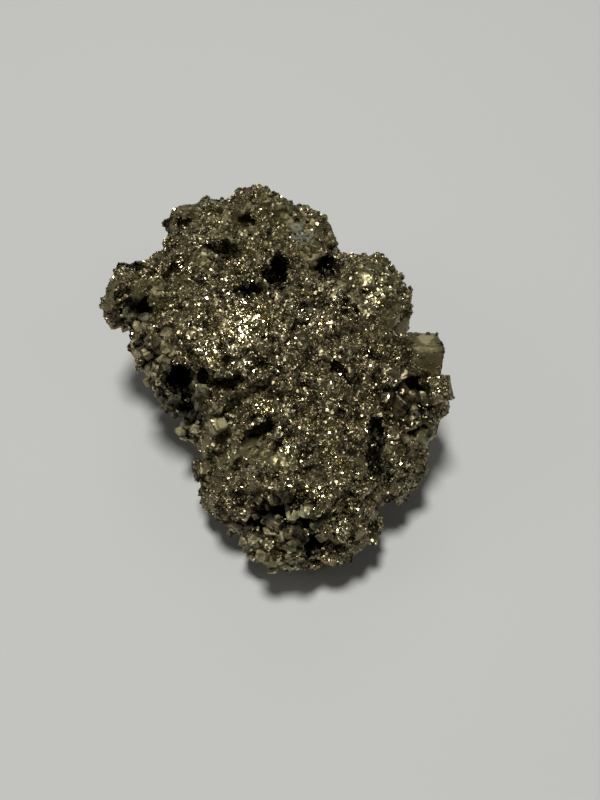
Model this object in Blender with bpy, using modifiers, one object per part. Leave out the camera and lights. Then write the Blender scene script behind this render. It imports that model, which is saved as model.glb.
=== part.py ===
"""Pyrite specimen: a palm-sized lump of pyrite under a crust of small crystals, made as one solid.

The lump lies on a table, and its display side is laid out as someone sees it who looks down at it
at SIGHT_ANGLE from EYE_DISTANCE away. A place is given by `right` and `up` in the plane through the
middle of the lump square to that sight line, and a lump also by its `height` above the table.
Everything in the tables below is in millimetres and degrees.

Run it with: blender --background --python part.py
"""

import math
import random

import bmesh
import bpy
from mathutils import Euler, Matrix, Vector, noise
from mathutils.bvhtree import BVHTree
from mathutils.kdtree import KDTree

NAME = "pyrite_cluster"
MM = 0.001

# The eye that the display side is laid out for: it looks towards +Y and down.
SIGHT_ANGLE = math.radians(60)
EYE_DISTANCE = 211
MIDDLE = Vector((0, 0, 18))
SIGHT = Vector((0, math.cos(SIGHT_ANGLE), -math.sin(SIGHT_ANGLE)))
DISPLAY_UP = Vector((0, math.sin(SIGHT_ANGLE), math.cos(SIGHT_ANGLE)))
EYE = MIDDLE - SIGHT * EYE_DISTANCE

# The lumps that grew into one mass: right, up, height of the centre, and radii along X, Y and Z.
LUMPS = {
    "core": (2, 3, 17, (20, 24, 15)),
    "crown": (-3.4, 28.4, 22.3, (9.6, 8.4, 11)),
    "back_left": (-13.8, 28.2, 21.8, (8.4, 7.8, 9.2)),
    "back_right": (4.5, 25.5, 21.5, (8, 8.5, 10)),
    "back_middle": (-3, 20, 23, (15, 9, 11.5)),
    "right_upper": (15, 14.2, 21.5, (11.2, 11.5, 12)),
    "right": (23.4, -3, 17, (9.6, 11, 11)),
    "right_lower": (18, -12, 13.5, (11.9, 12.2, 12)),
    "front_right": (10, -25, 10, (10, 10.4, 10)),
    "front": (2, -27, 9, (9, 9.5, 9)),
    "front_left": (-4.5, -19, 11.5, (9.5, 10.4, 11)),
    "left_wall_low": (-7.4, -5.5, 13.5, (11.8, 11.5, 12)),
    "left_wall_middle": (-14, 2.5, 14.5, (10.5, 8.5, 10.5)),
    "left_wall_high": (-19, 9, 18.5, (9.6, 7.8, 9.5)),
    "left_lobe": (-25.5, 15.4, 26.5, (8.0, 7.1, 7.7)),
    "upper_left": (-16.5, 20.5, 25, (9, 7.5, 8.5)),
    "plateau": (-4, 8, 24.5, (21, 17, 11)),
    "middle": (6, 1, 22, (20, 16, 10.5)),
    "low_plateau": (6, -14, 18, (16, 14, 11)),
    "underside": (1, -1, 8, (20, 23, 10)),
    "foot_back": (2, 13, 7, (14, 11, 8.5)),
    "foot_front": (4, -21, 6, (11, 9, 7.5)),
}
VOXEL = 0.7

# How rough the mass is: the spacing of its knobs and how far they stand out.
KNOBS = ((10.0, 2.2), (5.0, 2.0), (2.4, 0.6))

# Pits and crevices: right, up, (width, length, depth), and the turn that tips the length to the left.
PITS = {
    "back_hole": (0.2, 20.4, (4.4, 6.2, 7), 0),
    "back_right_hole": (9.5, 21.6, (4.0, 5.6, 6), 15),
    "crown_left_hole": (-18, 30.2, (2.4, 3.0, 3), 10),
    "back_furrow": (-5, 17.0, (6.4, 3.2, 5), 5),
    "crown_crevice": (-5.8, 30.3, (4.6, 1.8, 2.5), 0),
    "left_crevice": (-10.5, 24.6, (7.2, 2.4, 4), 28),
    "lobe_pit": (-26.9, 13.6, (5.4, 6.8, 4.5), 10),
    "wall_hole": (-25, 6.9, (4, 3.4, 4), -30),
    "hollow_upper": (-18.1, 0.2, (5.8, 6.6, 8), 25),
    "hollow_middle": (-17.0, -3.0, (5.4, 6, 8), 0),
    "hollow_lower": (-16.6, -6.6, (6, 5.6, 8), 0),
    "hollow_arm": (-14.2, 0.5, (4.4, 3, 5), -20),
    "side_furrow": (-8.6, -0.6, (6.4, 2.6, 3.5), -5),
    "ledge_crevice": (-3.6, -10, (7.2, 2.6, 4.5), -28),
    "middle_furrow": (11.3, 2.2, (6.4, 2.0, 3.5), 20),
    "right_crevice": (19.1, -11.5, (3, 13, 6), -6),
    "right_pit": (26.3, -0.4, (4, 3.6, 4), -30),
    "front_hollow": (-0.3, -24.6, (7.2, 3.4, 6), 0),
    "front_gap": (5.8, -27.1, (2.6, 2.6, 4), 0),
    "front_slot": (6.9, -31.4, (3.6, 5.6, 5), 10),
    "front_left_slot": (-3.9, -27.6, (4.4, 2.4, 4), 0),
}
PIT_KNOBS = ((3.0, 1.0),)

# Single crystals that stand out: right, up, size, and how the crystal is turned.
CRYSTALS = {
    "right_edge_cube": (27.7, 4.3, 5.9, (-28, 8, 6)),
    "right_edge_low": (30.2, -1.8, 4.2, (40, 10, 25)),
    "right_face": (21.2, 0.9, 3.2, (25, 20, 10)),
    "right_dark": (23.6, -4.5, 3.4, (10, 35, 50)),
    "right_dark_low": (24.6, -8.2, 2.8, (30, 5, 20)),
    "lobe_low": (-27.4, 11.6, 2.6, (20, 30, 10)),
    "lobe_pit_block": (-28.3, 15.6, 2.6, (50, 10, 30)),
    "lobe_pit_deep": (-25.9, 16.4, 2.4, (15, 25, 60)),
    "lobe_under": (-25.4, 9.4, 2.6, (15, 40, 35)),
    "wall_edge": (-26.2, 6.6, 2.6, (30, 15, 50)),
    "wall_top": (-22.4, 6.4, 3.0, (35, 25, 15)),
    "wall_middle": (-24.2, 3.4, 2.8, (20, 40, 5)),
    "wall_pale": (-21.6, 2.4, 2.6, (10, 20, 40)),
    "wall_side": (-21.9, -1.0, 2.2, (45, 5, 20)),
    "wall_ochre": (-19.6, -3.3, 2.2, (30, 15, 25)),
    "wall_foot": (-19.2, -8.2, 2.0, (25, 35, 10)),
    "wall_inner": (-11.4, -4.6, 2.6, (45, 30, 10)),
    "wall_low": (-10.6, -8.4, 2.8, (20, 10, 35)),
    "ledge_block": (-11.0, -11.4, 3.4, (35, 45, 5)),
    "lower_left": (-13.4, -16.8, 3.0, (10, 25, 20)),
    "front_block_left": (-3.9, -29.8, 2.6, (15, 20, 30)),
    "front_block_middle": (0.2, -26.9, 2.4, (40, 20, 10)),
    "front_block_right": (3.6, -28.8, 2.8, (25, 35, 40)),
    "front_block_far": (3.6, -24.2, 2.2, (50, 15, 25)),
    "front_block_low": (3.4, -32.4, 2.8, (10, 40, 20)),
    "front_block_side": (-1.0, -32.0, 2.6, (35, 10, 55)),
    "front_far_right": (12.4, -28.4, 3.2, (30, 10, 45)),
}

# The crust of smaller crystals over the rest of the mass: sizes, and the room that each takes.
CRUST_SIZES = (1.8, 3.2)
CRUST_SPACING = 2.3
CRUST_TRIES = 16000
CRUST_VOXEL = 0.32
# How much wider the crust makes every lump.
CRUST_RISE = 0.6
SEED = 11
# How far a crystal's centre stands above the skin it grows on, as a share of its size.
SET_IN = -0.36
STANDS_OUT = 0.12

# How round the lumps and the pits are before they are evened out.
LUMP_FINENESS = 4
PIT_FINENESS = 3
# A pyritohedron's corners lie on a cube's and above its faces: how far out, how far aside, and how
# wide it is in all, with half the cube's side as 1.
ROOF_OUT = 1.5
ROOF_ASIDE = 0.75
ROOF_WIDTH = 3

MASS_FACES = 8300
TABLE = (100, 120, 10)

COLOUR = (0.60, 0.52, 0.29, 1)
ROUGHNESS = 0.25


def clear_scene():
    for obj in list(bpy.data.objects):
        bpy.data.objects.remove(obj)


def sight_line(right, up):
    """The direction in which the eye sees the place `right`, `up`."""
    return (MIDDLE + Vector((right, 0, 0)) + DISPLAY_UP * up - EYE).normalized()


def place_of(right, up, height):
    """The point at `height` that the eye sees at `right`, `up`."""
    line = sight_line(right, up)
    return EYE + line * ((height - EYE.z) / line.z)


def add_ball(bm, centre, radii, turn, fineness):
    """Adds a ball stretched to three radii, in millimetres."""
    shape = Matrix.Translation(centre) @ turn @ Matrix.Diagonal((*radii, 1))
    matrix = Matrix.Scale(MM, 4) @ shape
    bmesh.ops.create_icosphere(bm, subdivisions=fineness, radius=1, matrix=matrix)


def object_from(bm, name, collection):
    mesh = bpy.data.meshes.new(name)
    bm.to_mesh(mesh)
    bm.free()
    obj = bpy.data.objects.new(name, mesh)
    collection.objects.link(obj)
    return obj


def settle(obj):
    """Puts what the object's modifiers make in its own mesh."""
    bpy.context.view_layer.update()
    graph = bpy.context.evaluated_depsgraph_get()
    mesh = bpy.data.meshes.new_from_object(obj.evaluated_get(graph))
    obj.modifiers.clear()
    obj.data = mesh


def even_out(obj, voxel):
    """Gives the object one closed skin of even small faces."""
    remesh = obj.modifiers.new("even out", "REMESH")
    remesh.mode = "VOXEL"
    remesh.voxel_size = voxel * MM
    settle(obj)


def grow_mass(collection):
    """The lumps, grown together into one closed skin."""
    bm = bmesh.new()
    for right, up, height, radii in LUMPS.values():
        bare = [radius - CRUST_RISE for radius in radii]
        add_ball(bm, place_of(right, up, height), bare, Matrix.Identity(4), LUMP_FINENESS)
    mass = object_from(bm, NAME, collection)
    even_out(mass, VOXEL)
    return mass


def cut(obj, tool, operation="DIFFERENCE"):
    change = obj.modifiers.new(tool.name, "BOOLEAN")
    change.operation = operation
    change.object = tool
    change.use_self = True
    settle(obj)


def on_skin(skin, right, up):
    """Where the sight line meets the skin, or the skin's nearest place to a line that just misses."""
    place, normal, _, _ = skin.ray_cast(EYE * MM, sight_line(right, up))
    if place is None:
        place, normal, _, _ = skin.find_nearest(place_of(right, up, MIDDLE.z) * MM)
    return place / MM, normal


def add_pits(mass, tools):
    """Sinks each pit along the sight line, from where that line meets the mass."""
    skin = BVHTree.FromObject(mass, bpy.context.evaluated_depsgraph_get())
    bm = bmesh.new()
    for right, up, (width, length, depth), turn in PITS.values():
        mouth, _ = on_skin(skin, right, up)
        facing = sight_line(right, up).to_track_quat("Z", "Y").to_matrix().to_4x4()
        facing = facing @ Matrix.Rotation(math.radians(turn), 4, "Z")
        add_ball(bm, mouth, (width / 2, length / 2, depth), facing, PIT_FINENESS)
    pits = object_from(bm, "pits", tools)
    roughen(pits, VOXEL / 2, PIT_KNOBS)
    cut(mass, pits)
    return pits


def roughen(obj, voxel, knobs):
    """Raises knobs with creases between them: each is highest at its own middle."""
    even_out(obj, voxel)
    mesh = obj.data
    shifts = []
    for vertex in mesh.vertices:
        shift = 0
        for spacing, rise in knobs:
            nearest = noise.voronoi(vertex.co / (spacing * MM))[0][0]
            shift += rise * (0.5 - nearest)
        shifts.append(vertex.normal * shift * MM)
    for vertex, shift in zip(mesh.vertices, shifts):
        vertex.co += shift
    mesh.update()
    even_out(obj, voxel)


def coarsen(obj, faces):
    """Keeps the shape in about this many triangles."""
    fewer = obj.modifiers.new("coarsen", "DECIMATE")
    fewer.ratio = faces / (2 * len(obj.data.polygons))
    settle(obj)


def add_crystal(bm, kind, centre, size, turn):
    """Adds a cube, or a twelve-sided pyritohedron, of the given size across."""
    matrix = Matrix.Scale(MM, 4) @ Matrix.Translation(centre) @ turn.to_matrix().to_4x4()
    if kind == "cube":
        bmesh.ops.create_cube(bm, size=size, matrix=matrix)
        return
    corners = [Vector((x, y, z)) for x in (-1, 1) for y in (-1, 1) for z in (-1, 1)]
    for out in (-ROOF_OUT, ROOF_OUT):
        for aside in (-ROOF_ASIDE, ROOF_ASIDE):
            corners += [Vector((0, aside, out)), Vector((aside, out, 0)), Vector((out, 0, aside))]
    made = [bm.verts.new(matrix @ (corner * size / ROOF_WIDTH)) for corner in corners]
    bmesh.ops.convex_hull(bm, input=made)


def encrust(mass, pits):
    """Covers the mass with seeded crystals set close together, and leaves the pits open."""
    rng = random.Random(SEED)
    graph = bpy.context.evaluated_depsgraph_get()
    hollows = BVHTree.FromObject(pits, graph)
    faces = list(mass.data.polygons)
    areas = [face.area for face in faces]
    taken = KDTree(CRUST_TRIES)
    bm = bmesh.new()
    bm.from_mesh(mass.data)
    for index, face in enumerate(rng.choices(faces, areas, k=CRUST_TRIES)):
        place = face.center / MM
        size = rng.uniform(*CRUST_SIZES)
        turn = Euler([rng.uniform(0, math.tau) for _ in range(3)])
        kind = rng.choice(("cube", "pyritohedron"))
        taken.balance()
        near = taken.find(place)[2]
        if near is not None and near < CRUST_SPACING:
            continue
        taken.insert(place, index)
        if hollows.find_nearest(face.center, size / 2 * MM)[0] is None:
            add_crystal(bm, kind, place + face.normal * size * SET_IN, size, turn)
    bm.to_mesh(mass.data)
    bm.free()
    even_out(mass, CRUST_VOXEL)


def add_named_crystals(mass, tools):
    """The crystals that stand out, each where the eye sees it."""
    skin = BVHTree.FromObject(mass, bpy.context.evaluated_depsgraph_get())
    bm = bmesh.new()
    for right, up, size, angles in CRYSTALS.values():
        place, normal = on_skin(skin, right, up)
        turn = Euler([math.radians(angle) for angle in angles])
        add_crystal(bm, "cube", place + normal * size * STANDS_OUT, size, turn)
    cut(mass, object_from(bm, "crystals", tools), "UNION")


def flatten_base(mass, tools):
    """Cuts off what is below the table, so that the mass rests on flat patches."""
    bm = bmesh.new()
    drop = Matrix.Translation((0, 0, -TABLE[2] / 2))
    bmesh.ops.create_cube(bm, size=1, matrix=Matrix.Scale(MM, 4) @ drop @ Matrix.Diagonal((*TABLE, 1)))
    cut(mass, object_from(bm, "table", tools))


def drop_crumbs(mass):
    """Keeps the largest body: a cut can leave a crumb that hangs on by one edge or corner."""
    bm = bmesh.new()
    bm.from_mesh(mass.data)
    waiting = set(bm.faces)
    bodies = []
    while waiting:
        body = [waiting.pop()]
        for face in body:
            for edge in face.edges:
                if len(edge.link_faces) == 2:
                    found = waiting.intersection(edge.link_faces)
                    waiting -= found
                    body += found
        bodies.append(body)
    bodies.sort(key=len)
    crumbs = [face for body in bodies[:-1] for face in body]
    bmesh.ops.delete(bm, geom=crumbs, context="FACES")
    bm.to_mesh(mass.data)
    bm.free()


def centre_on_base(mass):
    """Puts the origin at the middle of the bounding box, on the table."""
    box = [Vector(corner) for corner in mass.bound_box]
    low = [min(corner[axis] for corner in box) for axis in range(3)]
    high = [max(corner[axis] for corner in box) for axis in range(3)]
    shift = Vector((-(low[0] + high[0]) / 2, -(low[1] + high[1]) / 2, -low[2]))
    mass.data.transform(Matrix.Translation(shift))
    print("moved by", [round(along / MM, 2) for along in shift], "mm")


def pyrite():
    material = bpy.data.materials.new("pyrite")
    material.use_nodes = True
    surface = material.node_tree.nodes["Principled BSDF"]
    surface.inputs["Base Color"].default_value = COLOUR
    surface.inputs["Metallic"].default_value = 1
    surface.inputs["Roughness"].default_value = ROUGHNESS
    return material


def main():
    clear_scene()
    parts = bpy.data.collections.new("pyrite specimen")
    tools = bpy.data.collections.new("cutters")
    tools.hide_render = True
    bpy.context.scene.collection.children.link(parts)
    bpy.context.scene.collection.children.link(tools)
    mass = grow_mass(parts)
    roughen(mass, VOXEL, KNOBS)
    pits = add_pits(mass, tools)
    encrust(mass, pits)
    coarsen(mass, MASS_FACES)
    add_named_crystals(mass, tools)
    flatten_base(mass, tools)
    drop_crumbs(mass)
    centre_on_base(mass)
    mass.data.materials.clear()
    mass.data.materials.append(pyrite())
    for tool in tools.objects:
        tool.hide_render = True
        tool.display_type = "WIRE"


main()
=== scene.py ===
# %% [markdown]
# # Dressing a pyrite specimen
# Pyrite is iron sulphide, a brassy yellow mineral that grows as cubes and their cousins. This lump
# is a druse: a mass of it whose whole skin is small crystals, most of them about a millimetre
# across, turned every way, so that a few always throw the light straight back as a glint.
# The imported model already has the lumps, the pits and the crystals of 2 mm and more as one solid.
# The lesson keeps that form, gives it a finer skin, and grows the small crystals on it as real mesh,
# so that they show from every side and in the outline. Only facets under half a millimetre are left
# to a bump in the material.

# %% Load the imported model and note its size
import itertools
import math

import bmesh
import bpy
import numpy as np
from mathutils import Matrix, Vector, noise
from mathutils.bvhtree import BVHTree
from mathutils.kdtree import KDTree


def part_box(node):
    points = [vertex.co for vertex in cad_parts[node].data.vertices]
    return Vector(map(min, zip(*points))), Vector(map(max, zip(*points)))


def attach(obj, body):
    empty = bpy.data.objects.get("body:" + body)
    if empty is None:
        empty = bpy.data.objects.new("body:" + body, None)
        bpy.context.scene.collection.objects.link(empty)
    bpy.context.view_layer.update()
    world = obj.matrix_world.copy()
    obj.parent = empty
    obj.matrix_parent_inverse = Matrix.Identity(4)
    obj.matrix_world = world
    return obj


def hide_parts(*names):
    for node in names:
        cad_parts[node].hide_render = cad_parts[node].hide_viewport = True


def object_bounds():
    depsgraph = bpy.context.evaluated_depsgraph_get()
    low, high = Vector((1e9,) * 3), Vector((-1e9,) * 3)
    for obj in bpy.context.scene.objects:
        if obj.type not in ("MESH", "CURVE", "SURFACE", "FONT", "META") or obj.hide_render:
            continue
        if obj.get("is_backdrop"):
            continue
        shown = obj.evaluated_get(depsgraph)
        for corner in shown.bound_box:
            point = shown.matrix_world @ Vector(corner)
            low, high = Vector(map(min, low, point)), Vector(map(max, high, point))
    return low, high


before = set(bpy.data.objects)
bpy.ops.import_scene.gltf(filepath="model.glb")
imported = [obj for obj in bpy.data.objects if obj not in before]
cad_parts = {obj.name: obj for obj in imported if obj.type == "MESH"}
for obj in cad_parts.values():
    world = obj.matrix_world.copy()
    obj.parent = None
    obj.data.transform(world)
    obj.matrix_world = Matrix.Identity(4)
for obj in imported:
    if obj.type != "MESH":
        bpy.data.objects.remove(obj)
cad_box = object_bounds()
MM = 0.001
NODE = "pyrite_cluster"
low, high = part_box(NODE)
print("specimen, mm:", [round(side / MM, 1) for side in high - low])

# %% [markdown]
# ## Where the eye is
# The display side of the lump was laid out for someone who looks down at it at 60 degrees. The
# same eye places the camera here, and it also tells where each hollow or patch is: a place on the
# display side is given as millimetres right and up in the plane through the lump's middle that is
# square to the line of sight. The plane's middle point is known from how the model was centred.
# All the points of this cell are in millimetres.

# %% The camera
SIGHT_ANGLE = math.radians(60)
MIDDLE = np.array([0.14, -2.89, 18.0])
EYE_DISTANCE = 211.0
LENS = 50
SENSOR = 36
NEAREST_SEEN = 10
# The lump isn't in the middle of the picture: how far the picture's middle is to its right and below.
FRAME_SHIFT = (4.5, -3.5)
ACROSS = np.array([1.0, 0.0, 0.0])
UPWARD = np.array([0.0, math.sin(SIGHT_ANGLE), math.cos(SIGHT_ANGLE)])
BACK = np.array([0.0, -math.cos(SIGHT_ANGLE), math.sin(SIGHT_ANGLE)])
EYE = MIDDLE + BACK * EYE_DISTANCE

camera = bpy.data.objects.new("camera", bpy.data.cameras.new("camera"))
bpy.context.scene.collection.objects.link(camera)
camera.data.lens = LENS
camera.data.sensor_width = SENSOR
camera.data.clip_start = NEAREST_SEEN * MM
camera.location = Vector((EYE + ACROSS * FRAME_SHIFT[0] + UPWARD * FRAME_SHIFT[1]) * MM)
camera.rotation_mode = "QUATERNION"
camera.rotation_quaternion = Vector(-BACK).to_track_quat("-Z", "Y")
bpy.context.scene.camera = camera
print("camera, mm:", [round(along / MM) for along in camera.location])


# %% Where a point is on the display side
def display_place(points):
    """Right and up, in millimetres, of points given in metres."""
    rays = points / MM - EYE
    reach = EYE_DISTANCE / (rays @ -BACK)
    flat = EYE + rays * reach[:, None] - MIDDLE
    return flat @ ACROSS, flat @ UPWARD


# %% How much a point is in a patch
# Sines make the patches' edges wander, by this many millimetres each. Their pitches, in radians for
# each millimetre right and up, are unlike so that the wandering doesn't repeat.
WANDER = 0.5
PITCHES_RIGHT = ((0.7, 2.3), (-1.9, 5.1))
PITCHES_UP = ((2.7, -0.9), (4.7, 2.2))
# A patch ends at this many times its half width and height, and fades over the second value.
EDGE = 1.25
FADE = 0.5


def wander(right, up, pitches):
    return WANDER * sum(np.sin(along * right + rise * up) for along, rise in pitches)


def ellipse_weight(points, patches):
    """From 0 to 1, how much each point is in any of the patches: right, up, half width, half height."""
    right, up = display_place(points)
    right, up = right + wander(right, up, PITCHES_RIGHT), up + wander(right, up, PITCHES_UP)
    weight = np.zeros(len(points))
    for at_right, at_up, wide, tall in patches.values():
        away = np.hypot((right - at_right) / wide, (up - at_up) / tall)
        weight = np.maximum(weight, np.clip((EDGE - away) / FADE, 0, 1))
    return weight


# %% [markdown]
# ## The patches of the display side
# Not all of the skin glitters. Some patches are dull and olive, where a film of tarnish lies on
# faces that are almost smooth, and on the lobes a thinner film only takes off some of the shine.
# In the bright patches the crystals share an angle that flashes. The broken left side, the right
# and the hollow at the front hold blocky crystals, and single pale ones stand out among them. The
# hollows are bare, and their colour is darkened with painted shade, as are the gaps between the
# blocky crystals. A few spots have a rusty stain, where the sulphide has weathered to limonite, and
# one at the crown is milky, with quartz over it. The swells are three places where the real outline
# is a little fuller than the solid's.

# %% The patches, in millimetres on the display side: right, up, half width, half height
DULL_PATCHES = {
    "lobe_top": (-14.8, 23.8, 3.4, 2.2),
    "lobe_ridge": (-22.8, 16.4, 2.2, 2.6),
    "lobe_edge": (-31.0, 15.6, 1.8, 4.2),
    "crown_left": (-8.0, 32.6, 3.4, 2.6),
    "crown_edge": (-16.6, 32.6, 2.4, 3.0),
    "crown_middle": (0.6, 34.0, 4.4, 3.0),
    "crown_right": (9.8, 30.0, 3.6, 4.4),
    "crown_foot": (6.4, 23.6, 3.0, 3.0),
    "crown_slope": (-9.4, 27.6, 3.6, 1.7),
    "crown_brow": (3.4, 30.2, 3.2, 1.8),
    "right_shoulder": (19.6, 20.4, 4.6, 3.4),
    "right_low_shoulder": (23.0, 12.0, 3.2, 3.4),
    "right_block": (29.4, 5.4, 3.2, 4.6),
    "ledge": (-5.2, -12.6, 4.4, 2.8),
    "ledge_foot": (1.0, -15.6, 3.0, 1.8),
    "left_low": (-10.4, -8.6, 2.6, 2.4),
    "front_left": (-11.2, -17.0, 3.0, 3.4),
    "right_low": (21.2, -13.4, 3.0, 2.2),
    "right_edge_low": (28.0, -11.6, 2.4, 3.2),
}
FILMY_PATCHES = {
    "crown": (-2.4, 30.4, 12.0, 5.0),
    "lobe": (-22.4, 17.4, 5.4, 4.0),
    "right_shoulder": (18.6, 18.8, 6.0, 5.0),
}
BRIGHT_PATCHES = {
    "heart": (-5.4, 10.8, 3.8, 3.7),
    "lobe": (-23.6, 20.6, 2.1, 1.1),
    "right_shoulder": (18.6, 15.8, 1.9, 1.4),
    "right_edge": (31.0, -0.6, 1.3, 1.5),
    "front_right": (8.4, -21.4, 2.4, 1.5),
    "low_middle": (3.0, -12.4, 2.0, 1.1),
    "left_middle": (-12.4, 5.4, 1.8, 1.9),
    "middle": (-2.6, -4.8, 2.5, 1.2),
    "right_middle": (9.4, 10.8, 2.2, 0.9),
    "upper": (-6.0, 21.8, 1.2, 0.9),
    "lobe_foot": (-17.8, 21.6, 1.2, 0.8),
    "low_right": (11.7, -15.3, 1.6, 0.9),
    "front_low": (13.0, -28.0, 1.4, 0.9),
}
BLOCKY_PATCHES = {
    "lobe_pit": (-26.4, 12.6, 2.4, 3.6),
    "wall_top": (-22.6, 4.6, 3.6, 5.0),
    "wall_low": (-17.0, -5.0, 4.6, 5.6),
    "front": (0.6, -28.4, 7.6, 6.2),
    "right": (24.6, -4.4, 4.2, 5.2),
}
RUSTY_PATCHES = {
    "lobe_foot": (-30.6, 12.2, 1.4, 1.1),
    "wall_hole": (-25.0, 6.9, 1.5, 1.2),
    "front_hollow": (-2.9, -24.6, 1.6, 1.3),
    "front_left": (-6.2, -28.0, 1.4, 1.0),
}
PALE_PATCHES = {
    "lobe_block": (-25.6, 9.6, 1.3, 1.2),
    "lobe_pit_block": (-27.1, 12.6, 1.0, 1.0),
    "wall_band": (-21.8, 7.5, 0.9, 1.7),
    "wall_slope": (-20.6, 4.7, 1.6, 1.1),
    "wall_block": (-21.2, 2.2, 1.4, 1.0),
    "wall_ochre": (-18.9, -3.1, 1.0, 1.3),
    "inner": (-10.9, -5.4, 1.0, 0.9),
    "inner_low": (-10.4, -8.4, 0.8, 1.3),
    "front_block": (0.3, -26.6, 1.0, 1.4),
    "front_small": (2.6, -24.3, 0.8, 1.2),
    "front_right": (4.5, -28.7, 1.0, 1.6),
    "front_low": (3.9, -32.0, 1.4, 1.2),
    "front_bright": (-3.7, -29.5, 1.0, 0.9),
    "right_ochre": (25.8, -6.0, 0.9, 1.1),
    "right_top": (28.4, 7.8, 2.4, 0.9),
}
# The hollows are bare of crystals, and their colour is darkened with painted shade.
HOLLOW_PATCHES = {
    "lobe_pit": (-26.9, 14.2, 1.8, 2.4),
    "left_upper": (-18.3, 0.7, 2.3, 2.4),
    "left_middle": (-16.7, -2.8, 2.2, 2.6),
    "left_lower": (-16.6, -6.4, 2.5, 2.2),
    "back": (0.4, 21.6, 1.5, 2.1),
    "back_right": (9.5, 22.5, 1.2, 1.8),
    "back_furrow": (-5.2, 17.3, 2.6, 0.9),
    "right_pit": (25.7, 0.1, 1.3, 1.3),
    "right_crevice": (19.3, -10.6, 0.8, 4.4),
    "right_crevice_foot": (18.6, -16.0, 0.8, 1.8),
    "front": (-0.3, -24.6, 1.9, 0.9),
    "front_gap": (5.8, -27.1, 0.9, 0.9),
    "front_slot": (6.7, -31.1, 1.7, 1.1),
    "front_foot": (6.7, -33.9, 1.2, 0.7),
    "front_left": (-3.7, -27.5, 1.0, 0.8),
}
SWELL_PATCHES = {
    "wall_rim": (-20.4, -6.4, 1.5, 3.2),
    "lobe_corner": (-31.2, 12.4, 1.6, 2.4),
    "right_notch": (24.4, 8.8, 1.5, 1.8),
}
MILKY_PATCHES = {
    "crown_foot": (4.0, 28.4, 1.3, 1.7),
    "crown_foot_low": (5.6, 26.8, 1.0, 0.8),
}
print("patches:", len(DULL_PATCHES), "dull,", len(BRIGHT_PATCHES), "bright,", len(HOLLOW_PATCHES), "hollow")

# %% [markdown]
# ## Lumps and creases finer than the solid's
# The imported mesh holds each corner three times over, so it is welded first. Its large crystals show
# as broad facets, which are many triangles in one plane, so neighbours whose normals agree are
# gathered by walking across edges. All the rest is an aggregate: crystals grew from many starts, and
# where two clumps met a dark crease stayed. Voronoi noise has just that form, a hump round each
# start and a crease half way to the next. A clump is about 5 mm wide here, and a knob 2 mm.

# %% Weld the solid and find its broad facets
WELD = 1e-6
SAME_PLANE = math.cos(math.radians(1.5))
# A facet of more than this area is the side of a large crystal.
BROAD = 3.6 * MM * MM

solid = bmesh.new()
solid.from_mesh(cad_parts[NODE].data)
bmesh.ops.remove_doubles(solid, verts=solid.verts, dist=WELD)
bmesh.ops.triangulate(solid, faces=solid.faces)
solid.normal_update()
broad_layer = solid.faces.layers.int.new("broad")


def facets(bm):
    """Lists of faces that lie in one plane and join on to each other."""
    waiting = set(bm.faces)
    while waiting:
        facet = [waiting.pop()]
        for face in facet:
            for edge in face.edges:
                for other in edge.link_faces:
                    if other in waiting and other.normal.dot(facet[0].normal) > SAME_PLANE:
                        waiting.remove(other)
                        facet.append(other)
        yield facet


for facet in facets(solid):
    is_broad = sum(face.calc_area() for face in facet) > BROAD
    for face in facet:
        face[broad_layer] = is_broad
print("faces:", len(solid.faces), "on broad facets:", sum(face[broad_layer] for face in solid.faces))

# %% Raise the lumps and sink the creases
# For each size of hump: the millimetres from one to the next, and how steeply they rise.
CLUMPS = {"clumps": (4.6, 1.05), "knobs": (2.1, 0.6)}
# At this distance from a start, in spacings, the skin is as high as the solid's.
HUMP_MIDDLE = 0.36
CREASE_WIDTH = 0.18
CREASE_DEPTH = 0.9 * MM
# The base stays flat up to this height.
BASE_HEIGHT = 0.5 * MM
SOFTEN = 0.5
SOFTEN_TIMES = 2
SWELL = 1.3 * MM


def relief(place, humps):
    """How far out the skin lies at a place, in metres."""
    rise = 0
    for spacing, height in humps.values():
        near = noise.voronoi(place / (spacing * MM))[0]
        rise += height * MM * (HUMP_MIDDLE - near[0])
        rise -= CREASE_DEPTH * height * max(0, 1 - (near[1] - near[0]) / CREASE_WIDTH)
    return rise


def split_and_soften(bm):
    """Splits each triangle into four and rounds it a little, and returns the points off broad facets."""
    bmesh.ops.subdivide_edges(bm, edges=bm.edges, cuts=1, use_grid_fill=True)
    bmesh.ops.triangulate(bm, faces=bm.faces)
    free = [
        vert for vert in bm.verts
        if vert.co.z > BASE_HEIGHT and not any(face[broad_layer] for face in vert.link_faces)
    ]
    axes = {"use_axis_x": True, "use_axis_y": True, "use_axis_z": True}
    for _ in range(SOFTEN_TIMES):
        bmesh.ops.smooth_vert(bm, verts=free, factor=SOFTEN, **axes)
    bm.normal_update()
    return free


free = split_and_soften(solid)
swells = SWELL * ellipse_weight(np.array([vert.co[:] for vert in free]), SWELL_PATCHES)
for vert, swell in zip(free, swells):
    vert.co += vert.normal * (relief(vert.co, CLUMPS) + swell)
solid.normal_update()
solid.faces.ensure_lookup_table()

corners = np.array([[corner.co[:] for corner in face.verts] for face in solid.faces])
normals = np.array([face.normal[:] for face in solid.faces])
areas = np.array([face.calc_area() for face in solid.faces])
broad = np.array([bool(face[broad_layer]) for face in solid.faces])
print("faces with the lumps raised:", len(areas))

# %% [markdown]
# ## How open each place is to the light
# Light reaches the bottom of a hollow only after several bounces, which ray tracing gives. On top of
# that the colour is darkened with painted shade where little light gets in. For this each face sends
# out a fan of short rays and counts how many get away: 1 on a ridge, near 0 down a pit. A ray that is
# stopped far off still counts in part, so creases show most. The value is kept for colouring, as
# painted shade like an ambient occlusion pass baked into the colour.

# %% Openness of every face
FAN = 20
REACH = 8 * MM
# The rays start this far off the skin, or they would hit the face that they leave.
LIFT = 0.05 * MM

rng = np.random.default_rng(19)


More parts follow.
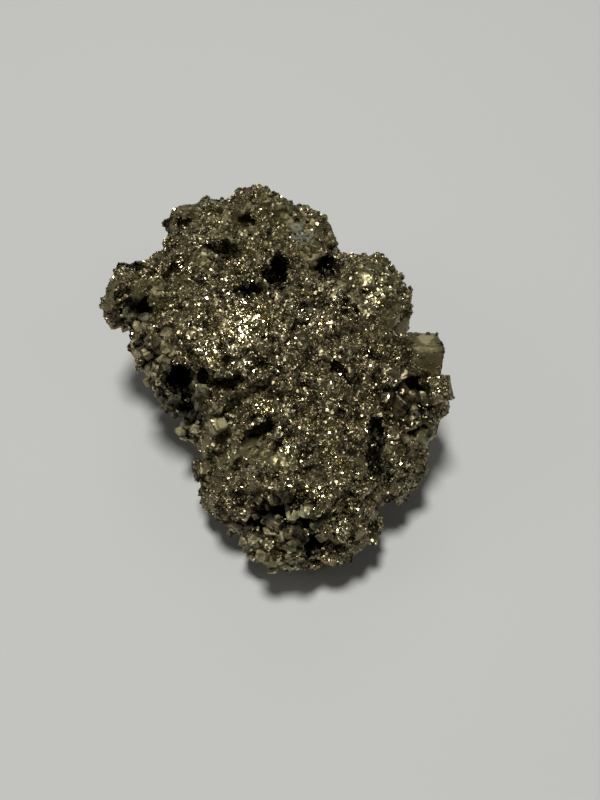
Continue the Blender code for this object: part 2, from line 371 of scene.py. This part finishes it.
def fan_of_rays(count):
    """Directions over a half ball round +Z, thinner towards its rim."""
    index = np.arange(count) + 0.5
    height = np.sqrt(1 - index / count)
    side = np.sqrt(1 - height ** 2)
    # The golden angle keeps them evenly spread.
    angle = index * math.pi * (3 - math.sqrt(5))
    return np.stack([side * np.cos(angle), side * np.sin(angle), height], axis=1)


def openness_of(tree, places, facing):
    """The share of a fan of rays that gets away from each place."""
    fan = fan_of_rays(FAN)
    result = np.zeros(len(places))
    for index, (place, normal) in enumerate(zip(places, facing)):
        turn = Vector(normal).to_track_quat("Z", "Y").to_matrix()
        start = Vector(place + normal * LIFT)
        rays = fan @ np.array(turn).T
        for ray in rays:
            stopped_at = tree.ray_cast(start, Vector(ray), REACH)[3]
            result[index] += 1 if stopped_at is None else (stopped_at / REACH) ** 2
    return result / FAN


tree = BVHTree.FromBMesh(solid)
middles = corners.mean(axis=1)
openness = openness_of(tree, middles, normals)
print("openness: mean", round(float(openness.mean()), 2), "least", round(float(openness.min()), 2))

# %% [markdown]
# ## The skin under the crystals
# Between the crystals that can be told apart, real pyrite shows a crinkled mass, like crumpled foil.
# So each triangle is split again, and a last, finer set of humps is raised, about 1 mm apart. The
# skin is shaded smooth, and its material adds facets too small to model. What comes out lower than
# the floor is pressed flat on it.

# %% The crinkled skin
CRINKLES = {"crinkles": (1.1, 0.42), "grains": (0.7, 0.22)}
# The share of the crinkles' height that is left in the dull patches.
DULL_CRINKLES = 0.45
GRAIN = 0.03 * MM
OPEN_LAYER = "open"
BROAD_LAYER = "flat"


def new_object(name, mesh):
    obj = bpy.data.objects.new(name, mesh)
    bpy.context.scene.collection.objects.link(obj)
    return obj


def keep_at_corners(bm, name, values):
    """Stores the mean of the values of the faces round each corner."""
    layer = bm.verts.layers.float.new(name)
    bm.faces.ensure_lookup_table()
    for vert in bm.verts:
        vert[layer] = float(np.mean([values[face.index] for face in vert.link_faces]))


solid.faces.index_update()
keep_at_corners(solid, OPEN_LAYER, openness)
keep_at_corners(solid, BROAD_LAYER, broad)
free = split_and_soften(solid)
points = np.array([vert.co[:] for vert in free])
seen = np.array([vert.normal.dot(BACK) > 0 for vert in free])
strength = 1 - (1 - DULL_CRINKLES) * ellipse_weight(points, DULL_PATCHES) * seen
for vert, share in zip(free, strength):
    vert.co += vert.normal * relief(vert.co, CRINKLES) * share + Vector(rng.uniform(-1, 1, 3)) * GRAIN
    vert.co.z = max(vert.co.z, 0)
skin_mesh = bpy.data.meshes.new("crinkled_skin")
solid.to_mesh(skin_mesh)
solid.free()
skin_mesh.shade_smooth()
skin = new_object("crinkled_skin", skin_mesh)
print("skin faces:", len(skin_mesh.polygons))

# %% [markdown]
# ## The forms that pyrite takes
# Pyrite has few habits: the cube, the octahedron, the cube with its corners cut off, and the
# pyritohedron with twelve five-sided faces that is named after it. The angles between faces never
# change, but crowded crystals grow unevenly, so their faces lie at uneven distances from the
# middle. That is how they are made here: each habit is a set of face directions, and the crystal
# is what all those planes leave between them. A few of each habit are enough to hide any repeats.

# %% Crystal forms, each about one unit across
def signs(*sizes):
    """All the directions that some sizes give with either sign."""
    points = [()]
    for size in sizes:
        steps = (-size, size) if size else (0,)
        points = [point + (step,) for point in points for step in steps]
    return points


def turned(points):
    """The points with their coordinates passed round from axis to axis."""
    return [point[shift:] + point[:shift] for point in points for shift in range(3)]


HABITS = {
    "cube": {"faces": turned(signs(1, 0, 0)), "cut": (), "kinds": 6, "chance": 0.36},
    "octahedron": {"faces": signs(1, 1, 1), "cut": (), "kinds": 4, "chance": 0.24},
    "cut_cube": {"faces": turned(signs(1, 0, 0)), "cut": signs(1, 1, 1), "kinds": 4, "chance": 0.2},
    "pyritohedron": {"faces": turned(signs(0, 1, 2)), "cut": (), "kinds": 4, "chance": 0.2},
}
HALF_CRYSTAL = 0.5
UNEVEN = 0.32
# A cut corner lies at this many times the distance of the faces that it is cut from.
CUT_DEPTH = 1.25
# Three planes whose directions span less than this are nearly parallel and give no corner.
LEAST_SPAN = 0.01
SLACK = 1e-6
SAME_CORNER = 0.02


def grown_form(directions, distances):
    """Corners and triangles of the crystal with one face in each direction, at its own distance."""
    bm = bmesh.new()
    for trio in itertools.combinations(range(len(directions)), 3):
        planes = directions[list(trio)]
        if abs(np.linalg.det(planes)) < LEAST_SPAN:
            continue
        corner = np.linalg.solve(planes, distances[list(trio)])
        if (directions @ corner < distances + SLACK).all():
            bm.verts.new(corner)
    bmesh.ops.remove_doubles(bm, verts=bm.verts, dist=SAME_CORNER)
    bmesh.ops.convex_hull(bm, input=bm.verts)
    bmesh.ops.triangulate(bm, faces=bm.faces)
    bmesh.ops.recalc_face_normals(bm, faces=bm.faces)
    bm.verts.index_update()
    corner_places = np.array([vert.co[:] for vert in bm.verts])
    form_faces = np.array([[vert.index for vert in face.verts] for face in bm.faces])
    bm.free()
    return corner_places, form_faces


forms = []
form_tops = []
form_chances = []
for name, habit in HABITS.items():
    directions = np.array(habit["faces"] + list(habit["cut"]), dtype=float)
    directions /= np.linalg.norm(directions, axis=1)[:, None]
    for kind in range(habit["kinds"]):
        distances = HALF_CRYSTAL * (1 + UNEVEN * rng.uniform(-1, 1, len(directions)))
        distances[len(habit["faces"]):] *= CUT_DEPTH
        forms.append(grown_form(directions, distances))
        form_tops.append((directions[:len(habit["faces"])], distances[:len(habit["faces"])]))
        form_chances.append(habit["chance"] / habit["kinds"])
    print(name, "last kind has", len(forms[-1][0]), "corners,", len(forms[-1][1]), "triangles")

# %% [markdown]
# ## Growing a druse
# Crystals could be instanced on the skin, but an export drops instances, so they are written as
# joined meshes. The places come first: points are scattered over the solid's faces by area, and a
# point is kept if it has room. The grid below makes that quick: it only compares neighbours.

# %% Scattering places with room between them
class Room:
    """Remembers places on a grid, so that only near ones are compared."""

    def __init__(self, cell):
        self.cell = cell
        self.filled = {}

    def near(self, place):
        x, y, z = (int(along // self.cell) for along in place)
        for dx in (-1, 0, 1):
            for dy in (-1, 0, 1):
                for dz in (-1, 0, 1):
                    yield from self.filled.get((x + dx, y + dy, z + dz), ())

    def take(self, place, size, share):
        """Takes the place if every neighbour is at least `share` of their mean size away."""
        for other, other_size in self.near(place):
            if math.dist(place, other) < share * (size + other_size) / 2:
                return False
        key = tuple(int(along // self.cell) for along in place)
        self.filled.setdefault(key, []).append((place, size))
        return True


def scatter(weights, sizes):
    """For each size: a face picked by weighted area, and a point on it."""
    chance = areas * weights
    picked = rng.choice(len(areas), size=len(sizes), p=chance / chance.sum())
    first = np.sqrt(rng.random(len(sizes)))
    second = rng.random(len(sizes))
    spots = (
        corners[picked, 0] * (1 - first)[:, None]
        + corners[picked, 1] * (first * (1 - second))[:, None]
        + corners[picked, 2] * (first * second)[:, None]
    )
    return picked, spots


# %% How much of a face the crystals cover
# A patch of the display side has no part in faces that look away from the eye.
faces_eye = normals @ BACK > 0
# A face whose normal has less height than this is on the underside.
FACING_DOWN = -0.5
UNDERSIDE_SHARE = 0.35
BROAD_SHARE = 0.3
DULL_SHARE = 0.06
# None starts lower than this, as it would lift the specimen off the floor.
LOWEST_START = 0.6 * MM
# Nothing grows where the openness is less than the first value, and the second more gives full cover.
CLOSED = 0.36
OPENING = 0.15

underside = normals[:, 2] < FACING_DOWN
dull, bright, blocky, pale, milky, hollow = (
    ellipse_weight(middles, patches) * faces_eye
    for patches in (
        DULL_PATCHES, BRIGHT_PATCHES, BLOCKY_PATCHES, PALE_PATCHES, MILKY_PATCHES, HOLLOW_PATCHES
    )
)
coverage = np.where(underside, UNDERSIDE_SHARE, 1.0) * np.where(broad, BROAD_SHARE, 1.0)
coverage *= 1 - (1 - DULL_SHARE) * dull
coverage *= (1 - pale) * (1 - milky) * (1 - hollow)
coverage *= middles[:, 2] > LOWEST_START
coverage *= np.clip((openness - CLOSED) / OPENING, 0, 1)
print("area under crust, mm2:", round(float((areas * coverage).sum() / MM ** 2)))

# %% The crystals, from the largest to the smallest
# Sizes and stands, which is how far a crystal's top is above the skin, are in millimetres. A tilt is
# in radians, and room is the least distance to a neighbour in crystal sizes.
FINE_AMONG_BLOCKY = 0.1
SORTS = {
    "blocky": {
        "tries": 1400, "sizes": (1.1, 2.0), "stand": 0.4, "tilt": 0.6, "room": 0.75,
        "where": coverage * blocky,
    },
    "medium": {
        "tries": 700, "sizes": (0.8, 1.1), "stand": 0.12, "tilt": 0.3, "room": 0.5,
        "where": coverage * (1 - blocky),
    },
    "small": {
        "tries": 24000, "sizes": (0.5, 0.8), "stand": 0.07, "tilt": 0.26, "room": 0.5,
        "where": coverage * (1 - blocky),
    },
    "fine": {
        "tries": 70000, "sizes": (0.36, 0.5), "stand": 0.06, "tilt": 0.3, "room": 0.5,
        "where": coverage * (1 - (1 - FINE_AMONG_BLOCKY) * blocky),
    },
}
# A cell is wider than any two crystals' room, so that looking in the next cells is enough.
CELL = 3.2 * MM
room = Room(CELL)


def grow(sort):
    """Faces, places and sizes of the crystals that find room, and how they stand."""
    sizes = np.sort(rng.uniform(*sort["sizes"], sort["tries"]))[::-1] * MM
    picked, spots = scatter(sort["where"], sizes)
    kept = [
        index for index, spot in enumerate(spots) if room.take(tuple(spot), sizes[index], sort["room"])
    ]
    stands = np.full(len(kept), sort["stand"] * MM)
    tilts = np.full(len(kept), sort["tilt"])
    return picked[kept], spots[kept], sizes[kept], stands, tilts


grown = {name: grow(sort) for name, sort in SORTS.items()}
for name, crystals in grown.items():
    print(name, "crystals:", len(crystals[0]))

# %% [markdown]
# ## Turning the crystals
# In a crowded druse the crystals show one face each, near enough in the plane of the crust, with
# the rest buried in their neighbours. So each has a face turned outwards and tilted by some degrees.
# Neighbours often grow on one older crystal, so a group a few millimetres wide shares a tilt and
# flashes as one, while the next stays dark. In the bright patches the face looks half way between
# the lamp and the eye, which is the angle that throws the lamp straight back.

# %% Frames along given directions
# The helper that sets a frame's second axis is vertical, unless the first is nearly vertical too.
NEARLY_VERTICAL = 0.9


def unit(vectors):
    return vectors / np.linalg.norm(vectors, axis=1)[:, None]


def frames_along(directions, spins):
    """For each direction, a frame whose first axis it is, spun round it."""
    helper = np.where(np.abs(directions[:, 2:]) < NEARLY_VERTICAL, (0.0, 0.0, 1.0), (1.0, 0.0, 0.0))
    side = unit(np.cross(directions, helper))
    side = side * np.cos(spins)[:, None] + np.cross(directions, side) * np.sin(spins)[:, None]
    return np.stack([directions, side, np.cross(directions, side)], axis=2)


# %% The form of each crystal, and which of its faces is on top
all_faces, all_spots, all_sizes, all_stands, all_tilts = (
    np.concatenate(values) for values in zip(*grown.values())
)
count = len(all_faces)
all_forms = rng.choice(len(forms), size=count, p=form_chances)
tops = [form_tops[form] for form in all_forms]
top_picks = [int(pick * len(top[1])) for pick, top in zip(rng.random(count), tops)]
top_directions = np.array([top[0][pick] for pick, top in zip(top_picks, tops)])
top_heights = np.array([top[1][pick] for pick, top in zip(top_picks, tops)])

print("crystals of each form:", np.bincount(all_forms).tolist())

# %% One turn for each crystal
GROUP_COUNT = 1400
GROUP_TILT = 0.16
BRIGHT_TILT = 0.16
BRIGHT_SHARE = 0.92
BRIGHT_STAND = 0.13 * MM
TOWARDS_LAMP = (-0.06, 0.05, 1.0)

group_spots = scatter(np.ones(len(areas)), np.ones(GROUP_COUNT))[1]
group_tree = KDTree(GROUP_COUNT)
for index, spot in enumerate(group_spots):
    group_tree.insert(spot, index)
group_tree.balance()
group_of = [group_tree.find(spot)[1] for spot in all_spots]
shared = rng.normal(scale=GROUP_TILT, size=(GROUP_COUNT, 3))[group_of]
own = rng.normal(size=(count, 3))
half_way = np.array((Vector(TOWARDS_LAMP).normalized() + Vector(BACK)).normalized())
outwards = unit(normals[all_faces] + shared + own * all_tilts[:, None])
flashing = unit(half_way + own * BRIGHT_TILT)
flashes = rng.random(count) < bright[all_faces] * BRIGHT_SHARE
outwards[flashes] = flashing[flashes]
all_stands[flashes] = BRIGHT_STAND

spins = rng.uniform(0, math.tau, count)
all_turns = np.einsum(
    "nik,njk->nij", frames_along(outwards, spins), frames_along(top_directions, np.zeros(count))
)
all_tops = all_spots + normals[all_faces] * all_stands[:, None]
all_centres = all_tops - outwards * (top_heights * all_sizes)[:, None]
print(count, "crystals,", int(flashes.sum()), "of them face the lamp")

# %% [markdown]
# ## Writing the crystals
# All the crystals of one side of the lump go into one mesh. Triangles that lie wholly in the mass
# are left out, which halves the count, and what would come out lower than the floor is pressed flat
# on it. Each corner carries the values that its colour needs: a tint that is the crystal's own, how
# open its place is, and the patches.

# %% The values that colours need
TINT_LAYER = "tint"
GAP_LAYER = "gap"
PATCH_LAYERS = {
    "dull": DULL_PATCHES,
    "filmy": FILMY_PATCHES,
    "hollow": HOLLOW_PATCHES,
    "rusty": RUSTY_PATCHES,
    "pale": PALE_PATCHES,
    "milky": MILKY_PATCHES,
    "bright": BRIGHT_PATCHES,
}
# In the bright patches the tints, which darken, lose this share.
BRIGHT_TINT_LOSS = 0.6
# Among the blocky crystals this share is pale, but none to the right of ALL_FRESH_FROM, which is in
# millimetres on the display side.
BLOCKY_FROM = 0.5
PALE_SHARE = 0.42
ALL_FRESH_FROM = 10


def keep_values(mesh, name, values):
    mesh.attributes.new(name, "FLOAT", "POINT").data.foreach_set("value", values.astype(np.float32))


def keep_patches(mesh, points, facing, pales=0):
    """Stores how much each point is in each kind of patch of the display side."""
    for name, patches in PATCH_LAYERS.items():
        weight = ellipse_weight(points, patches) * facing
        keep_values(mesh, name, np.maximum(weight, pales) if name == "pale" else weight)


all_tints = rng.random(count) * (1 - BRIGHT_TINT_LOSS * bright[all_faces])
on_left = display_place(all_spots)[0] < ALL_FRESH_FROM
all_pales = (blocky[all_faces] > BLOCKY_FROM) * on_left * (rng.random(count) < PALE_SHARE)
print("pale crystals:", int(all_pales.sum()))

# %% One mesh for each side of the lump
# The compass bearings of the sides' middles, in degrees.
SIDES = {
    "front": -90,
    "front_right": -30,
    "back_right": 30,
    "back": 90,
    "back_left": 150,
    "front_left": 210,
}
HALF_SIDE = 30
# A triangle that is all deeper than this under the solid's face is out of sight.
HIDDEN_DEPTH = 0.1 * MM

bearing = np.degrees(np.arctan2(all_centres[:, 1], all_centres[:, 0]))


def crust_mesh(name, chosen):
    """The mesh of the crystals whose indices are chosen."""
    points = []
    triangles = []
    owners = []
    start = 0
    for index, (corner_places, form_faces) in enumerate(forms):
        mine = chosen[all_forms[chosen] == index]
        placed = np.einsum("nij,kj->nki", all_turns[mine], corner_places) * all_sizes[mine][:, None, None]
        placed += all_centres[mine][:, None, :]
        rise = np.einsum("nki,ni->nk", placed - all_spots[mine][:, None, :], normals[all_faces[mine]])
        shown = rise[:, form_faces].max(axis=2) > -HIDDEN_DEPTH
        shifts = start + np.arange(len(mine)) * len(corner_places)
        points.append(placed.reshape(-1, 3))
        triangles.append((form_faces[None] + shifts[:, None, None])[shown])
        owners.append(np.repeat(mine, len(corner_places)))
        start += len(mine) * len(corner_places)
    used, triangles = np.unique(np.concatenate(triangles), return_inverse=True)
    points = np.concatenate(points)[used]
    points[:, 2] = np.maximum(points[:, 2], 0)
    owners = np.concatenate(owners)[used]
    mesh = bpy.data.meshes.new(name)
    mesh.from_pydata(points, [], triangles.reshape(-1, 3))
    keep_values(mesh, TINT_LAYER, all_tints[owners])
    keep_values(mesh, OPEN_LAYER, openness[all_faces[owners]])
    keep_patches(mesh, points, faces_eye[all_faces[owners]], all_pales[owners])
    return mesh


crusts = []
for name, middle in SIDES.items():
    away = np.abs((bearing - middle + 180) % 360 - 180)
    chosen = np.flatnonzero(away < HALF_SIDE)
    crusts.append(new_object("crust_" + name, crust_mesh("crust_" + name, chosen)))
    print(crusts[-1].name, len(chosen), "crystals", len(crusts[-1].data.polygons), "triangles")

# %% The same values on the skin, and the gaps between blocky crystals
skin_points = np.array([vert.co[:] for vert in skin_mesh.vertices])
skin_facing = np.array([vert.normal[:] for vert in skin_mesh.vertices]) @ BACK > 0
keep_patches(skin_mesh, skin_points, skin_facing)
# The gaps between the blocky crystals are darkened with painted shade.
keep_values(skin_mesh, GAP_LAYER, ellipse_weight(skin_points, BLOCKY_PATCHES) * skin_facing)
print("skin points on the display side:", int(skin_facing.sum()), "of", len(skin_points))

# %% [markdown]
# ## Pyrite as a material
# Pyrite is opaque with a metallic lustre, so its look is all reflection: metallic is 1 and the base
# colour is its reflectance, about 0.6 in red and green and less in blue, which is the brass tone.
# Faces as they grew are smooth. Weathering grows a thin film of iron oxide that darkens them to
# olive brown and spreads the reflection. Rust and quartz lie on top, and aren't metals. Painted
# shade darkens the colour in the hollows, in the creases and between the crystals.

# %% Colours
def linear(code):
    """Turns an sRGB hex colour into the linear values that a shader needs."""
    channels = [int(code[place:place + 2], 16) / 255 for place in (1, 3, 5)]
    return [c / 12.92 if c <= 0.04045 else ((c + 0.055) / 1.055) ** 2.4 for c in channels] + [1]


# Faces as they grew, and the richer tone of the bright patches.
FRESH = linear("#C6BC98")
GOLDEN = linear("#D3C799")
# The film of iron oxide, thin and thick.
TARNISHED = linear("#968B6B")
OLIVE = linear("#7D7755")
# Painted shade for hollows, creases and gaps, then limonite, pale weathered crystals, and quartz.
PAINTED_SHADE = linear("#14120E")
RUST = linear("#3E261A")
PALE = linear("#A69D76")
MILKY = linear("#7B7D69")
print("fresh pyrite reflects:", [round(channel, 2) for channel in FRESH[:3]])


# %% A helper for nodes
class Nodes:
    """A new material's node tree, with a short way to add a node and feed its inputs."""

    def __init__(self, name):
        self.material = bpy.data.materials.new(name)
        self.material.use_nodes = True
        self.tree = self.material.node_tree
        self.shader = self.tree.nodes["Principled BSDF"]

    def add(self, kind, inputs=(), output=0, **settings):
        """Adds a node and returns the output that is asked for."""
        node = self.tree.nodes.new("ShaderNode" + kind)
        for name, value in settings.items():
            setattr(node, name, value)
        self.feed(node, inputs)
        return node.outputs[output]

    def feed(self, node, inputs):
        """Links the inputs that are given as sockets, and sets the others."""
        for place, value in dict(inputs).items():
            if isinstance(value, bpy.types.NodeSocket):
                self.tree.links.new(value, node.inputs[place])
            else:
                node.inputs[place].default_value = value


# %% [markdown]
# ## Facets like crumpled foil
# A bump that is one height field of soft noise looks like orange peel. Pyrite's grains have flat
# faces, so here each cell of a Voronoi pattern is a plane with a slope of its own: the height is the
# way from the cell's middle times the cell's random colour, taken as a slope. Facets of half a
# millimetre are the finest that still show as glints.

# %% The bump of flat facets
FACET = 0.5
MID_COLOUR = (0.5, 0.5, 0.5)
# The inputs of a map range node: the values where a change starts and ends, and the results there.
ENDS = ("From Min", "From Max", "To Min", "To Max")
# How steep the facets are, from the skin at large to broad faces and dull patches, which are calm.
SLOPE_ENDS = (0.1, 1.0, 0.95, 0.285)
# The share of it that is left in the bright patches, as their crystals already look at the lamp.
LEVEL_ENDS = (0.2, 0.9, 1.0, 0.4)


def foil_facets(nodes, place, weights):
    """The normal of the skin with facets on it."""
    tint = nodes.add("TexVoronoi", {"Vector": place, "Scale": 1 / (FACET * MM)}, output="Color")
    middle = tint.node.outputs["Position"]
    slope = nodes.add("VectorMath", {0: tint, 1: MID_COLOUR}, operation="SUBTRACT")
    away = nodes.add("VectorMath", {0: place, 1: middle}, operation="SUBTRACT")
    height = nodes.add("VectorMath", {0: slope, 1: away}, output="Value", operation="DOT_PRODUCT")
    calm = nodes.add("Math", {0: weights[BROAD_LAYER], 1: weights["dull"]}, operation="MAXIMUM")
    steep = nodes.add("MapRange", {"Value": calm, **dict(zip(ENDS, SLOPE_ENDS))})
    level = nodes.add("MapRange", {"Value": weights["bright"], **dict(zip(ENDS, LEVEL_ENDS))})
    steep = nodes.add("Math", {0: steep, 1: level}, operation="MULTIPLY")
    height = nodes.add("Math", {0: height, 1: steep}, operation="MULTIPLY")
    return nodes.add("Bump", {"Height": height, "Strength": 1.0, "Distance": 1.0})


# %% [markdown]
# ## The film and the painted shade
# The film of tarnish comes in clouds of a few millimetres, each crystal has its own share of it on
# top, and the bright patches are spared. Painted shade, which stands for the dark crevices between
# crystals, lies in smaller clouds, and also wherever little light gets in. Both patterns are noise in
# the object's own space, at sizes in millimetres.

# %% Where the film and the painted shade lie
CLOUD = 3.5
SHADE_CLOUD = 2.6
# What a crystal's own tint adds to the film, and what a bright patch takes from it.
TINT_SHARE = 0.3
BRIGHT_SPARED = -0.3
# Bright, dull and filmy patches take this from the painted shade.
SHADE_SPARED = -0.2
# The cloud at which painted shade starts, that at which it is full, and how much it hides at each.
SHADE_ENDS = (0.49, 0.63, 0.0, 0.8)


def film_of_tarnish(nodes, place, weights, start, full):
    """From 0 to 1: no film where the clouds are under `start`, and all of it from `full` on."""
    noise_inputs = {"Vector": place, "Scale": 1 / (CLOUD * MM), "Detail": 3.0}
    cloud = nodes.add("TexNoise", noise_inputs, output="Fac")
    film = nodes.add("Math", {0: weights["bright"], 1: BRIGHT_SPARED, 2: cloud}, operation="MULTIPLY_ADD")
    film = nodes.add("Math", {0: weights[TINT_LAYER], 1: TINT_SHARE, 2: film}, operation="MULTIPLY_ADD")
    return nodes.add("MapRange", {"Value": film, "From Min": start, "From Max": full})


def painted_shade_clouds(nodes, place, weights):
    """The share of the colour that painted shade hides, in clouds for the crevices between crystals."""
    noise_inputs = {"Vector": place, "Scale": 1 / (SHADE_CLOUD * MM), "Detail": 4.0}
    cloud = nodes.add("TexNoise", noise_inputs, output="Fac")
    spared = nodes.add("Math", {0: weights["bright"], 1: weights["dull"]}, operation="MAXIMUM")
    spared = nodes.add("Math", {0: spared, 1: weights["filmy"]}, operation="MAXIMUM")
    cloud = nodes.add("Math", {0: spared, 1: SHADE_SPARED, 2: cloud}, operation="MULTIPLY_ADD")
    return nodes.add("MapRange", {"Value": cloud, **dict(zip(ENDS, SHADE_ENDS))})


# %% The pyrite
# For each stored value: where its effect starts and ends, and the share of the colour it takes there.
COVERS = {
    "bright": (0.2, 0.8, 0.0, 0.8),
    "dull": (0.2, 0.9, 0.0, 0.75),
    "filmy": (0.2, 0.9, 0.0, 0.55),
    "pale": (0.3, 0.7, 0.0, 1.0),
    "rusty": (0.2, 0.7, 0.0, 0.9),
    "milky": (0.2, 0.7, 0.0, 1.0),
    # The hollows, the gaps between blocky crystals and the places that little light reaches take painted
    # shade.
    "hollow": (0.4, 0.8, 0.0, 0.8),
    GAP_LAYER: (0.4, 0.8, 0.0, 0.8),
    OPEN_LAYER: (0.15, 0.67, 0.95, 0.0),
}
# Faces as they grew are smooth, the tarnish is satin, and what lies on it adds to the roughness.
FRESH_ROUGH = 0.16
TARNISHED_ROUGH = 0.46
COVER_ROUGH = 0.26
# Rust, quartz and the pale crystals' crust are mostly not metal.
EARTHY_METALLIC = 0.35


def pyrite_material(name, start, full):
    """Pyrite whose film of tarnish is none where the clouds are under `start`, and full at `full`."""
    nodes = Nodes(name)
    place = nodes.add("TexCoord", output="Object")
    weights = {
        layer: nodes.add("Attribute", output="Fac", attribute_name=layer)
        for layer in (*COVERS, TINT_LAYER, BROAD_LAYER)
    }
    covers = {
        layer: nodes.add("MapRange", {"Value": weights[layer], **dict(zip(ENDS, ends))})
        for layer, ends in COVERS.items()
    }
    tarnish = film_of_tarnish(nodes, place, weights, start, full)
    film = nodes.add("Math", {0: covers["dull"], 1: covers["filmy"]}, operation="MAXIMUM")
    gap = nodes.add("Math", {0: covers["hollow"], 1: covers[GAP_LAYER]}, operation="MAXIMUM")
    earthy = nodes.add("Math", {0: covers["pale"], 1: covers["rusty"]}, operation="MAXIMUM")
    earthy = nodes.add("Math", {0: earthy, 1: covers["milky"]}, operation="MAXIMUM")
    covered = nodes.add("Math", {0: earthy, 1: film}, operation="MAXIMUM")

    # From the metal outwards: each layer hides its share of what is under it.
    colour = FRESH
    for share, layer_colour in (
        (covers["bright"], GOLDEN),
        (tarnish, TARNISHED),
        (film, OLIVE),
        (covers["pale"], PALE),
        (covers["rusty"], RUST),
        (covers["milky"], MILKY),
        # The last three layers are painted shade: in the hollows and gaps, where little light gets in, and
        # in clouds.
        (gap, PAINTED_SHADE),
        (covers[OPEN_LAYER], PAINTED_SHADE),
        (painted_shade_clouds(nodes, place, weights), PAINTED_SHADE),
    ):
        colour = nodes.add("Mix", {"Factor": share, 6: colour, 7: layer_colour}, output=2, data_type="RGBA")

    rough = nodes.add("MapRange", {"Value": tarnish, "To Min": FRESH_ROUGH, "To Max": TARNISHED_ROUGH})
    rough = nodes.add("Math", {0: covered, 1: COVER_ROUGH, 2: rough}, operation="MULTIPLY_ADD")
    metallic = nodes.add("MapRange", {"Value": earthy, "To Min": 1.0, "To Max": EARTHY_METALLIC})
    normal = foil_facets(nodes, place, weights)
    surface = {"Base Color": colour, "Metallic": metallic, "Roughness": rough, "Normal": normal}
    nodes.feed(nodes.shader, surface)
    return nodes.material


# The crystals' faces are as they grew, so many are bright. The fine-grained mass under them is
# nearly all tarnished, which gives the eye a satin ground between the glints.
skin_material = pyrite_material("pyrite, fine-grained mass with a tarnish film", 0.36, 0.52)
skin_mesh.materials.append(skin_material)
crystal_material = pyrite_material("pyrite, crystal faces as grown", 0.5, 0.68)
for crust in crusts:
    crust.data.materials.append(crystal_material)
print("nodes in the crystals' material:", len(crystal_material.node_tree.nodes))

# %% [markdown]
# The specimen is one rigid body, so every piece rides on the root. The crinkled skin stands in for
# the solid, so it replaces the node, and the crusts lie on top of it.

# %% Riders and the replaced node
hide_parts(NODE)
for piece in [skin, *crusts]:
    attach(piece, "root")
print("pieces that ride on the root:", 1 + len(crusts))

# %% [markdown]
# ## A pale floor and soft light
# Metal shows what is round it. One lamp nearly overhead gives the glints, as it is small enough for
# a facet to throw it at the eye whole. Three wide dim panels and an even surround give the olive
# tone between the glints, and keep the shadow on the floor soft.

# %% The floor
FLOOR_SIZE = 3.0

floor_bm = bmesh.new()
bmesh.ops.create_grid(floor_bm, x_segments=1, y_segments=1, size=FLOOR_SIZE / 2)
floor_mesh = bpy.data.meshes.new("floor")
floor_bm.to_mesh(floor_mesh)
floor_bm.free()
floor = new_object("floor", floor_mesh)
# Matt paint spreads what it reflects, so the floor shows no image of the specimen.
board = Nodes("matt painted board")
board.feed(board.shader, {"Base Color": linear("#CBCBC8"), "Roughness": 0.7})
floor_mesh.materials.append(board.material)
floor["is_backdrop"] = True
print("floor, m:", FLOOR_SIZE)

# %% Lamps: a small bright one, and wide dim ones for the facets that it misses
LAMPS = {
    "key": {"towards": TOWARDS_LAMP, "width": 0.19, "power": 7.7},
    "panel_back": {"towards": (0.15, 1.0, 0.9), "width": 0.55, "power": 0.5},
    "panel_left": {"towards": (-1.0, -0.1, 0.8), "width": 0.5, "power": 0.5},
    "panel_right": {"towards": (1.0, -0.35, 1.1), "width": 0.45, "power": 0.36},
}
LAMP_DISTANCE = 1.0
SURROUND = (0.04, 0.04, 0.037, 1)

for name, facts in LAMPS.items():
    lamp = bpy.data.objects.new(name, bpy.data.lights.new(name, "AREA"))
    bpy.context.scene.collection.objects.link(lamp)
    lamp.data.shape = "DISK"
    lamp.data.size = facts["width"]
    lamp.data.energy = facts["power"]
    lamp.location = Vector(facts["towards"]).normalized() * LAMP_DISTANCE
    lamp.rotation_mode = "QUATERNION"
    lamp.rotation_quaternion = lamp.location.to_track_quat("Z", "Y")
    print(name, "lamp, W:", facts["power"])

world = bpy.data.worlds.new("surround")
world.use_nodes = True
world.node_tree.nodes["Background"].inputs["Color"].default_value = SURROUND
bpy.context.scene.world = world
bpy.context.scene.view_settings.view_transform = "Standard"

# %% Note the size again and finish
sizes = {"cad": cad_box, "scene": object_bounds()}
{name: [list(map(float, corner)) for corner in box] for name, box in sizes.items()}
print("cad box", cad_box)
print("scene box", sizes["scene"])
